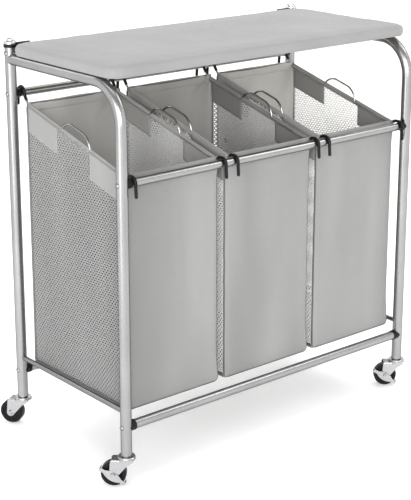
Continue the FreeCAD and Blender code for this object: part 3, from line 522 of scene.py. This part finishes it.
def mesh_side(bag, index, side):
    """Open net with staggered diamond holes, as real holes in one layer of yarn."""
    sign = SIGN[side]
    face = HALF - SKIN / 2 - 0.35 * MM
    # the left sides of the middle and right bags, seen in the gaps between bags, take the yarn with painted light
    yarn = NET_PAINTED_LIGHT if side == "left" and bag != "left" else NET
    under_rim = 7 * MM if yarn is NET else HEM_DROP - 2 * MM
    low_y, high_y = FRONT_Y + NET_INSET[side], BACK_Y - NET_INSET[side]
    vertices, faces, known = [], [], {}

    def point(y, z, lift):
        out = side_bow(y, z, side_seed(index, sign))
        return bag_point(sign * (face + out + lift), y, z, index)

    def knot(y, z):
        key = (round(y * 1e5), round(z * 1e5))
        if key not in known:
            known[key] = len(vertices)
            vertices.append(point(y, z, KNOT_RELIEF))
        return known[key]

    ring = [(0, 1), (1, 0), (0, -1), (-1, 0)]
    turns = [math.pi / 2 - math.pi / 4 * (k - 0.5) for k in range(8)]
    rows = int((BACK_RIM - FLOOR_Z - NET_LEAN * (BACK_Y - FRONT_Y)) / (CELL_Z / 2)) + 1
    columns = int((high_y - low_y) / CELL_Y) + 1
    for r in range(rows):
        for c in range(columns + 1):
            y = low_y + (c + (r % 2) / 2) * CELL_Y
            z = FLOOR_Z + 6 * MM + r * CELL_Z / 2 + NET_LEAN * (y - low_y)
            outside = y > high_y or z < FLOOR_Z + 4 * MM or z > rim(y) - under_rim
            if outside or in_patch(y, z - 6 * MM):
                continue
            outer = [knot(y + a * CELL_Y / 2, z + b * CELL_Z / 2 + NET_LEAN * a * CELL_Y / 2)
                     for a, b in ring]
            hole = range(len(vertices), len(vertices) + 8)
            for turn in turns:
                off_y = math.cos(turn) * CELL_Y / 2 * HOLE_WIDE
                off_z = math.sin(turn) * CELL_Z / 2 * HOLE_HIGH + NET_LEAN * off_y
                vertices.append(point(y + off_y, z + off_z, 0))
            for k in range(4):
                n = (k + 1) % 4
                faces.append((outer[k], hole[2 * k], hole[2 * k + 1]))
                faces.append((outer[k], hole[2 * k + 1], hole[2 * n], outer[n]))
    made = new_object("%s_bag_mesh_%s" % (bag, side), vertices, faces, yarn)
    facing(made, (sign, 0, 0))
    thicken(made, NET_THICK, NET_INSIDE[bag])
    finish_piece(made, bag + "_bag", "bag_mesh", bag + "_bag_mesh_sides")


def side_hem(bag, index, side):
    """Folded hem along a bag's side: full round the hanger wire, pressed flat at its stitched edge."""
    sign = SIGN[side]
    middle_x = sign * (HALF - HEM_INSET)
    sections = []
    tilt = math.atan(SLOPE)
    down = Vector((0, math.sin(tilt), -math.cos(tilt)))
    for t in spread(0, 1, 72):
        y = FRONT_Y + HEM_END + (BACK_Y - FRONT_Y - 2 * HEM_END) * t
        top = bag_point(middle_x, y, rim(y) - RIM_GAP, index)
        ends = min(1.0, 0.55 + 6 * min(t, 1 - t))
        ripple = soft((y, 0, 0), 40 + index * 2 + (sign > 0), size_mm=30, amount_mm=1.1)
        section = []
        for a in full_turn(20):
            drop = (1 - math.cos(a)) / 2
            swell = math.exp(-((drop * HEM_DROP - WIRE_DROP) / (4.5 * MM)) ** 2)
            across = math.sin(a) * (HEM_PRESSED + (HEM_THICK - HEM_PRESSED) * swell) / 2 * ends
            lean = sign * HEM_LEAN * drop
            aside = Vector((across + lean + ripple * 0.5, 0, 0))
            section.append(top + down * (drop * HEM_DROP * 0.985) + aside)
        sections.append(section)
    made = loft("%s_bag_hem_%s" % (bag, side), sections, HEM)
    made.data.materials.append(PATCH_INSIDE[bag])
    for face in made.data.polygons:
        if face.normal.x * sign < -0.35:
            face.material_index = 1
    finish_piece(made, bag + "_bag", "bag_fabric", bag + "_bag_side_hems")
    seam = []
    for y in spread(FRONT_Y + 8 * MM, BACK_Y - 8 * MM, 59):
        spot = bag_point(sign * (HALF - 3.1 * MM), y, rim(y) - RIM_GAP, index)
        seam.append(spot + down * (HEM_DROP * 0.86) + Vector((sign * 2.5 * MM, 0, 0)))
    stitch_row("%s_bag_hem_stitch_%s" % (bag, side), bag, seam, (sign, 0, 0))


def stitch_row(name, bag, points, normal, radius=0.38 * MM):
    """A row of raised stitches lying on a surface along a run of points."""
    vertices, faces = [], []
    total, runs = 0.0, []
    for a, b in zip(points, points[1:]):
        runs.append((total, a, b))
        total += (b - a).length
    normal = Vector(normal)

    def at(distance):
        for start, a, b in reversed(runs):
            if distance >= start:
                span = (b - a).length
                return a + (b - a) * min((distance - start) / max(span, 1e-9), 1.0), (b - a).normalized()
        return points[0], (points[1] - points[0]).normalized()

    place = STITCH_GAP
    while place + STITCH_LONG < total:
        rings = []
        for step, swell in ((0.0, 0.25), (0.2, 0.9), (0.5, 1.0), (0.8, 0.9), (1.0, 0.25)):
            spot, along = at(place + STITCH_LONG * step)
            side = along.cross(normal).normalized()
            rings.append(len(vertices))
            for a in full_turn(5):
                vertices.append(spot + side * (radius * swell * math.cos(a))
                                + normal * (radius * 0.8 * swell * (0.45 + math.sin(a))))
        for lower, upper in zip(rings, rings[1:]):
            for k in range(5):
                n = (k + 1) % 5
                faces.append((lower + k, lower + n, upper + n, upper + k))
        faces.append(tuple(rings[0] + k for k in reversed(range(5))))
        faces.append(tuple(rings[-1] + k for k in range(5)))
        place += STITCH_LONG + STITCH_GAP
    finish_piece(new_object(name, vertices, faces, THREAD), bag + "_bag", "bag_fabric")


def end_hem(bag, index, front):
    """Rolled hem across the top of the front or back panel."""
    y0 = FRONT_Y if front else BACK_Y
    inward = 1 if front else -1
    top_z = FRONT_RIM if front else BACK_RIM
    sections = []
    for t in spread(0, 1, 48):
        x = -HALF + END_HEM_INSET + (BAG_WIDTH - 2 * END_HEM_INSET) * t
        relief = face_relief(x, top_z - 8 * MM, front, index * 2 + (not front))
        bend = 4 * MM * (abs(2 * t - 1) ** 14)
        section = []
        for a in full_turn(16):
            drop = (1 - math.cos(a)) / 2
            out = math.sin(a) * END_HEM_BULGE * (1 - drop) ** 0.25
            section.append(bag_point(x, y0 + inward * (2.3 * MM + bend - relief + out),
                                     top_z - 0.4 * MM - rim_sag(t) - drop * END_HEM_DROP, index))
        sections.append(section)
    made = loft("%s_bag_%s_hem" % (bag, "front" if front else "back"), sections, HEM)
    made.data.materials.append(LINING[bag])
    for face in made.data.polygons:
        if face.normal.y * inward > 0.35:
            face.material_index = 1
    finish_piece(made, bag + "_bag", "bag_fabric")


def panel_edge_stitches(bag, index, side):
    """Stitching that runs down the front panel beside its upright edge."""
    sign = SIGN[side]
    x = sign * (HALF - 8.5 * MM)
    run = []
    for z in spread(FRONT_RIM - 22 * MM, FLOOR_Z + 14 * MM, 69):
        out = face_relief(x, z, True, index * 2)
        run.append(bag_point(x, FRONT_Y - out, z, index))
    stitch_row("%s_bag_front_stitch_%s" % (bag, side), bag, run, (0, -1, 0), radius=0.3 * MM)


def tape(name, bag, index, sign, run, half_width):
    """Binding tape over a seam in the bag's side: run is a list of (y, z)."""
    sections = []
    for number, (y, z) in enumerate(run):
        y_next, z_next = run[min(number + 1, len(run) - 1)]
        y_last, z_last = run[max(number - 1, 0)]
        along = Vector((0, y_next - y_last, z_next - z_last)).normalized()
        across = Vector((0, along.z, -along.y))
        wobble = soft((y, 0, z), 60 + index * 4 + (sign > 0) * 2, size_mm=26, amount_mm=0.7)
        middle = bag_point(sign * (HALF - 0.5 * MM), y, z, index) + across * wobble
        sections.append(oval(middle, across, Vector((1, 0, 0)), half_width, TAPE_BULGE, 10))
    finish_piece(loft(name, sections, BINDING), bag + "_bag", "bag_fabric")


def seam_bindings(bag, index, side):
    sign = SIGN[side]
    inset = BINDING_INSET[side]
    for where, y in (("front", FRONT_Y + inset), ("back", BACK_Y - inset)):
        top = rim(y) - HEM_DROP * 0.7
        run = [(y, z) for z in spread(top, FLOOR_Z + 8 * MM, 50)]
        tape("%s_bag_binding_%s_%s" % (bag, side, where), bag, index, sign, run, 2.6 * MM)
    run = [(y, FLOOR_Z + 7 * MM) for y in spread(FRONT_Y + inset, BACK_Y - inset, 46)]
    tape("%s_bag_binding_%s_floor" % (bag, side), bag, index, sign, run, 3.2 * MM)


def patch_sheet(name, bag, index, sign, corners):
    """A cloth patch lying over the mesh between four corners, a little crowned."""
    rows, columns = 10, 14
    (ya, za), (yb, zb), (yc, zc), (yd, zd) = corners
    vertices = []
    for v in spread(0, 1, rows):
        for u in spread(0, 1, columns):
            y = (ya * (1 - u) + yb * u) * (1 - v) + (yd * (1 - u) + yc * u) * v
            z = (za * (1 - u) + zb * u) * (1 - v) + (zd * (1 - u) + zc * u) * v
            crown = 0.35 * MM * (4 * u * (1 - u)) ** 0.5 * (4 * v * (1 - v)) ** 0.5
            out = side_bow(y, z, side_seed(index, sign)) + crown
            vertices.append(bag_point(sign * (HALF - 1.0 * MM + out), y, z, index))
    made = new_object(name, vertices, grid_faces(rows + 1, columns + 1), PATCH)
    facing(made, (sign, 0, 0))
    thicken(made, PATCH_THICK, PATCH_INSIDE[bag])
    finish_piece(made, bag + "_bag", "bag_fabric", bag + "_bag_corner_patches")


def side_patches(bag, index, side):
    sign = SIGN[side]
    for end, near, far in (("front", FRONT_Y + PATCH_END, FRONT_Y + PATCH_LONG),
                           ("rear", BACK_Y - PATCH_LONG, BACK_Y - PATCH_END)):
        corners = [(near, rim(near) - PATCH_DROP), (far, rim(far) - PATCH_DROP),
                   (far, rim(far) - PATCH_TOP), (near, rim(near) - PATCH_TOP)]
        patch_sheet("%s_bag_patch_%s_%s" % (bag, side, end), bag, index, sign, corners)
        low, high = near + SEWING_INSET, far - SEWING_INSET
        top, bottom = HEM_DROP + 2 * MM, PATCH_DROP - SEWING_INSET
        open_end = [(high, rim(high) - top), (high, rim(high) - bottom)]
        shut_end = [(low, rim(low) - bottom), (low, rim(low) - top)]
        turns = open_end + shut_end[:1] if end == "front" else open_end[1:] + shut_end
        points = []
        for (ya, za), (yb, zb) in zip(turns, turns[1:]):
            for y, z in zip(spread(ya, yb, 12), spread(za, zb, 12)):
                out = side_bow(y, z, side_seed(index, sign))
                points.append(bag_point(sign * (HALF + 0.2 * MM + out), y, z, index))
        stitch_row("%s_bag_patch_stitch_%s_%s" % (bag, side, end), bag, points, (sign, 0, 0))


def piping(name, bag, run, radius):
    """A round welt of binding along a run of points that lies across the Y axis."""
    sections = []
    for number, spot in enumerate(run):
        along = (run[min(number + 1, len(run) - 1)] - run[max(number - 1, 0)]).normalized()
        across = along.cross(Vector((0, 1, 0))).normalized()
        sections.append(oval(spot, across, along.cross(across), radius, radius, 8))
    finish_piece(loft(name, sections, BINDING), bag + "_bag", "bag_fabric")


def panel_welt_and_shade(bag, index, front):
    """Dark welt down both upright edges of a panel and along the fold under it: partly a seam welt, partly painted
    shade where the cloth turns away from the light.
    """
    face, inward = (FRONT_Y, 1) if front else (BACK_Y, -1)
    top = (FRONT_RIM if front else BACK_RIM) - 8 * MM
    low = FLOOR_Z + FOLD + 2 * MM
    fold = FOLD * (1 - math.cos(math.pi / 4)) - 0.4 * MM

    def upright(side, z):
        sign = SIGN[side]
        round_off = edge_radius(z, side, front)
        a = math.radians(WELT_TURN[side])
        return bag_point(sign * (HALF - round_off * (1 - math.sin(a)) + 0.3 * MM),
                         face + inward * round_off * (1 - math.cos(a)), z, index)

    def bend(start, end, corner_x):
        corner = Vector((corner_x, (start.y + end.y) / 2, FLOOR_Z + fold))
        return [curve(start, corner, end, t) for t in spread(0, 1, 8)[1:-1]]

    heights = spread(low, top, 60)
    left = [upright("left", z) for z in reversed(heights)]
    right = [upright("right", z) for z in heights]
    under = [bag_point(x, face + inward * fold, FLOOR_Z + fold, index)
             for x in spread(-HALF + 12 * MM, HALF - 12 * MM, 30)]
    run = left + bend(left[-1], under[0], left[-1].x) + under + bend(under[-1], right[0], right[0].x) + right
    piping("%s_bag_piping_%s" % (bag, "front" if front else "back"), bag, run, WELT)


def back_rim_shadow_welt(bag, index):
    """Thin dark welt along the top of the back panel, sagging a little between the hooks: a painted shadow line
    under the rim.
    """
    run = [bag_point(-HALF + 8 * MM + (BAG_WIDTH - 16 * MM) * t, BACK_Y - 3.0 * MM,
                     BACK_RIM - 1.2 * MM - rim_sag(t), index) for t in spread(0, 1, 40)]
    piping(bag + "_bag_back_edge", bag, run, BACK_WELT)


def make_bag(bag, index):
    bag_shell(bag, index)
    panel_welt_and_shade(bag, index, True)
    panel_welt_and_shade(bag, index, False)
    back_rim_shadow_welt(bag, index)
    end_hem(bag, index, True)
    end_hem(bag, index, False)
    for side in ("left", "right"):
        mesh_side(bag, index, side)
        side_hem(bag, index, side)
        side_patches(bag, index, side)
        seam_bindings(bag, index, side)
        panel_edge_stitches(bag, index, side)


for index, bag in enumerate(("left", "middle", "right")):
    make_bag(bag, index)


# Board ----------------------------------------------------------------------------------------------
BOARD_CORNER, BOARD_EDGE, BOARD_VOXEL = 30 * MM, 8 * MM, 5 * MM
SWELL_CAP, RECESS, RECESS_INSET, GATHER_PITCH = 3.0 * MM, 4.2 * MM, 30 * MM, 13 * MM
# room left inside the CAD box for swelling, the bevel under the rim, and the rim that keeps its outline
SIDE_ROOM, TOP_ROOM, BEVEL, FIRM_RIM = 1.0 * MM, 2.5 * MM, 3 * MM, 15 * MM


def rounded_outline(half_x, half_y, radius, steps=10):
    points = []
    for cx, cy, start in ((1, 1, 0), (-1, 1, 90), (-1, -1, 180), (1, -1, 270)):
        for degrees in spread(start, start + 90, steps):
            a = math.radians(degrees)
            points.append((cx * (half_x - radius) + radius * math.cos(a),
                           cy * (half_y - radius) + radius * math.sin(a)))
    return points


def board_pad():
    """Padded top: a slab swelled by cloth simulation, then hollowed underneath to take the panel."""
    low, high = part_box("board_cover")
    middle = (low + high) / 2
    half_x, half_y = (high.x - low.x) / 2 - SIDE_ROOM, (high.y - low.y) / 2 - SIDE_ROOM
    bottom, top = low.z, high.z - TOP_ROOM
    rings = [(bottom, BEVEL), (bottom + BEVEL, 0.0)]
    for a in spread(0, math.pi / 2, 5):
        rings.append((top - BOARD_EDGE + BOARD_EDGE * math.sin(a), BOARD_EDGE * (1 - math.cos(a))))
    sections = []
    for z, inset in rings:
        outline = rounded_outline(half_x - inset, half_y - inset, BOARD_CORNER - inset)
        sections.append([(middle.x + x, middle.y + y, z) for x, y in outline])
    pad = loft("board_pad", sections, COVER)
    remesh = pad.modifiers.new("remesh", "REMESH")
    remesh.mode, remesh.voxel_size = "VOXEL", BOARD_VOXEL
    apply_modifiers(pad)
    before = [v.co.copy() for v in pad.data.vertices]
    swell = pad.modifiers.new("cloth", "CLOTH")
    swell.settings.quality = 6
    swell.settings.mass = 0.2
    swell.settings.tension_stiffness = 30
    swell.settings.compression_stiffness = 30
    swell.settings.bending_stiffness = 3
    swell.settings.use_pressure = True
    swell.settings.uniform_pressure_force = 4
    swell.settings.effector_weights.gravity = 0
    for step in range(1, 21):
        bpy.context.scene.frame_set(step)
    apply_modifiers(pad)
    bpy.context.scene.frame_set(1)
    opening_x, opening_y = half_x - RECESS_INSET, half_y - RECESS_INSET
    for vertex, rest in zip(pad.data.vertices, before):
        moved = vertex.co - rest
        if moved.length > SWELL_CAP:
            moved *= SWELL_CAP / moved.length
        height = (rest.z - bottom) / (top - bottom)
        moved *= smooth_step(0.05, 0.5, height)
        if abs(rest.x - middle.x) > half_x - FIRM_RIM:
            moved.x = 0.0
        if abs(rest.y - middle.y) > half_y - FIRM_RIM:
            moved.y = 0.0
        where = rest + moved
        x, y = where.x - middle.x, where.y - middle.y
        crown = 0.9 * MM * (1 - (x / half_x) ** 4) * (1 - (y / half_y) ** 4) * smooth_step(0.5, 1, height)
        unevenness = (soft((where.x, where.y, 0), 90, size_mm=34, amount_mm=0.3)
                      + soft((where.x, where.y, 0), 91, size_mm=120, amount_mm=0.5))
        where.z += crown + unevenness * smooth_step(0.6, 1, height)
        if height < 0.1:
            room = min(opening_x - abs(x), opening_y - abs(y))
            where.z = bottom + RECESS * smooth_step(0, 3 * MM, room)
            gather = smooth_step(-26 * MM, -2 * MM, room) * (room < 0)
            along = x if opening_y - abs(y) < opening_x - abs(x) else y
            where.z += gather * 0.7 * MM * (1 + math.sin(along * 2 * math.pi / GATHER_PITCH))
        vertex.co = (min(max(where.x, low.x), high.x), min(max(where.y, low.y), high.y),
                     max(where.z, bottom))
    pad.data.update()
    smoother = pad.modifiers.new("smoother", "SUBSURF")
    smoother.levels = smoother.render_levels = 1
    apply_modifiers(pad)
    pad.data.shade_smooth()
    finish_piece(pad, "board", "cover_fabric", "board_cover", "board_foam")


def board_piping():
    """Rolled seam round the board's lower edge and the gathered casing of the cover underneath."""
    low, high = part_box("board_cover")
    middle = (low + high) / 2
    half_x, half_y = (high.x - low.x) / 2, (high.y - low.y) / 2
    for name, inset, z, radius, ripple, material in (
            ("board_seam", 4.5 * MM, low.z + 1.2 * MM, 1.2 * MM, 0.15 * MM, COVER),
            ("board_cover_casing", 28 * MM, low.z + 1.9 * MM, 1.8 * MM, 0.5 * MM, HEM)):
        corner_radius = max(BOARD_CORNER + MM - inset, 8 * MM)
        outline = rounded_outline(half_x - inset, half_y - inset, corner_radius, 14)
        run = []
        for (xa, ya), (xb, yb) in zip(outline, outline[1:] + outline[:1]):
            steps = max(1, int(math.hypot(xb - xa, yb - ya) / (4 * MM)))
            run += list(zip(spread(xa, xb, steps), spread(ya, yb, steps)))[:-1]
        sections = []
        for k, (x, y) in enumerate(run):
            xb, yb = run[(k + 1) % len(run)]
            xa, ya = run[k - 1]
            along = Vector((xb - xa, yb - ya, 0)).normalized()
            out = Vector((along.y, -along.x, 0))
            swell = radius + ripple * math.sin(k * 1.9) * 0.5
            spot = Vector((middle.x + x, middle.y + y, z))
            sections.append(oval(spot, out, Vector((0, 0, 1)), swell, swell, 8))
        finish_piece(loft(name, sections, material, closed=True), "board", "cover_fabric")


board_pad()
board_piping()


# Casters --------------------------------------------------------------------------------------------
def lathe(name, profile, steps, place, axis, material):
    """Turn a closed profile of (radius, across) about an axis through place."""
    axis = Vector(axis).normalized()
    first = axis.cross(Vector((0, 0, 1))).normalized()
    second = axis.cross(first).normalized()
    sections = []
    for a in full_turn(steps):
        spoke = first * math.cos(a) + second * math.sin(a)
        sections.append([Vector(place) + spoke * r + axis * c for r, c in profile])
    return loft(name, sections, material, closed=True)


def rounded_profile(corners, radii):
    """A closed profile with each corner rounded by its own radius."""
    points = []
    for i, radius in enumerate(radii):
        here = Vector((*corners[i], 0))
        into = (here - Vector((*corners[i - 1], 0))).normalized()
        out = (Vector((*corners[(i + 1) % len(corners)], 0)) - here).normalized()
        reach = radius * math.tan(into.angle(out) / 2)
        for t in spread(0, 1, 5):
            spot = curve(here - into * reach, here, here + out * reach, t)
            points.append((spot.x, spot.y))
    return points


# a wheel's section on one side of its axle, in millimetres as (radius, across), and its roundings
WHEEL_CORNERS = [(3.05, 11), (6.2, 11), (7.6, 7.1), (16.6, 7.0), (18.2, 9.5), (23.2, 9.5), (25, 7.2),
                 (25, -7.2), (23.2, -9.5), (18.2, -9.5), (16.6, -7.0), (7.6, -7.1), (6.2, -11), (3.05, -11)]
WHEEL_ROUNDS = [0.2, 0.7, 1.0, 1.0, 0.8, 1.2, 2.2, 2.2, 1.2, 0.8, 1.0, 1.0, 0.7, 0.2]
for joint in frame["joints"]:
    if joint["name"].endswith("_roll"):
        corner = joint["name"].removesuffix("_roll")
        profile = rounded_profile([(r * MM, c * MM) for r, c in WHEEL_CORNERS],
                                  [r * MM for r in WHEEL_ROUNDS])
        made = lathe(corner + "_caster_tyre", profile, 72, joint["pos_m"], joint["axis"], WHEEL)
        finish_piece(made, corner + "_wheel", "wheel_black", corner + "_caster_wheel")


# Floor and light ------------------------------------------------------------------------------------
def make_floor():
    made = Shader("studio_floor", roughness=0.7)
    made.colour(made.ramp(made.clouds(2, 2), grey(250), grey(253)))
    made.shader.inputs["Specular IOR Level"].default_value = 0.1
    made.shader.inputs["Emission Color"].default_value = (1, 1, 1, 1)
    made.shader.inputs["Emission Strength"].default_value = 0.12
    far = 40
    floor = new_object("floor", [(-far, -far, 0), (far, -far, 0), (far, far, 0), (-far, far, 0)],
                       [(0, 1, 2, 3)], made.material)
    facing(floor, (0, 0, 1))


def add_light(kind, name, place, target, **settings):
    data = bpy.data.lights.new(name, kind)
    for label, value in settings.items():
        setattr(data, label, value)
    light = bpy.data.objects.new(name, data)
    bpy.context.scene.collection.objects.link(light)
    light.location = place
    light.rotation_euler = (Vector(target) - Vector(place)).to_track_quat("-Z", "Y").to_euler()
    light.visible_camera = False


def panel(name, place, target, wide, high, radiance):
    """A soft box: its power follows from the radiance that it shows in reflections."""
    add_light("AREA", name, place, target, shape="RECTANGLE", size=wide, size_y=high,
              energy=radiance * wide * high * math.pi)


def make_world():
    """White round the horizon and darker overhead, so that metal has something to reflect."""
    world = bpy.data.worlds.new("studio")
    world.use_nodes = True
    bpy.context.scene.world = world
    tree = world.node_tree
    background = tree.nodes["Background"]
    way = tree.nodes.new("ShaderNodeTexCoord")
    split = tree.nodes.new("ShaderNodeSeparateXYZ")
    fade = tree.nodes.new("ShaderNodeMapRange")
    fade.interpolation_type = "SMOOTHSTEP"
    fade_settings = (("From Min", 0.36), ("From Max", 0.72), ("To Min", 1.4), ("To Max", 0.5))
    for label, value in fade_settings:
        fade.inputs[label].default_value = value
    tree.links.new(way.outputs["Generated"], split.inputs[0])
    tree.links.new(split.outputs["Z"], fade.inputs["Value"])
    tree.links.new(fade.outputs["Result"], background.inputs["Color"])


make_floor()
make_world()
add_light("SUN", "key_sun", (-1.7, -2.4, 0.78), (0, 0, 0), energy=1.9, angle=math.radians(30))
add_light("SUN", "top_sun", (0.2, 0.3, 2.0), (0, 0, 0), energy=1.2, angle=math.radians(60))
panel("left_strip", (-2.1, -0.75, 0.85), (0, 0, 0.4), 0.8, 1.7, 3.6)
panel("right_panel", (1.6, -0.9, 2.3), (0, 0, 0.5), 0.9, 0.9, 4.0)
panel("back_panel", (-0.6, 2.0, 2.0), (0, 0, 0.6), 1.2, 0.8, 2.5)
panel("back_right_panel", (1.8, 1.5, 2.3), (0, 0, 0.6), 1.5, 1.1, 2.4)
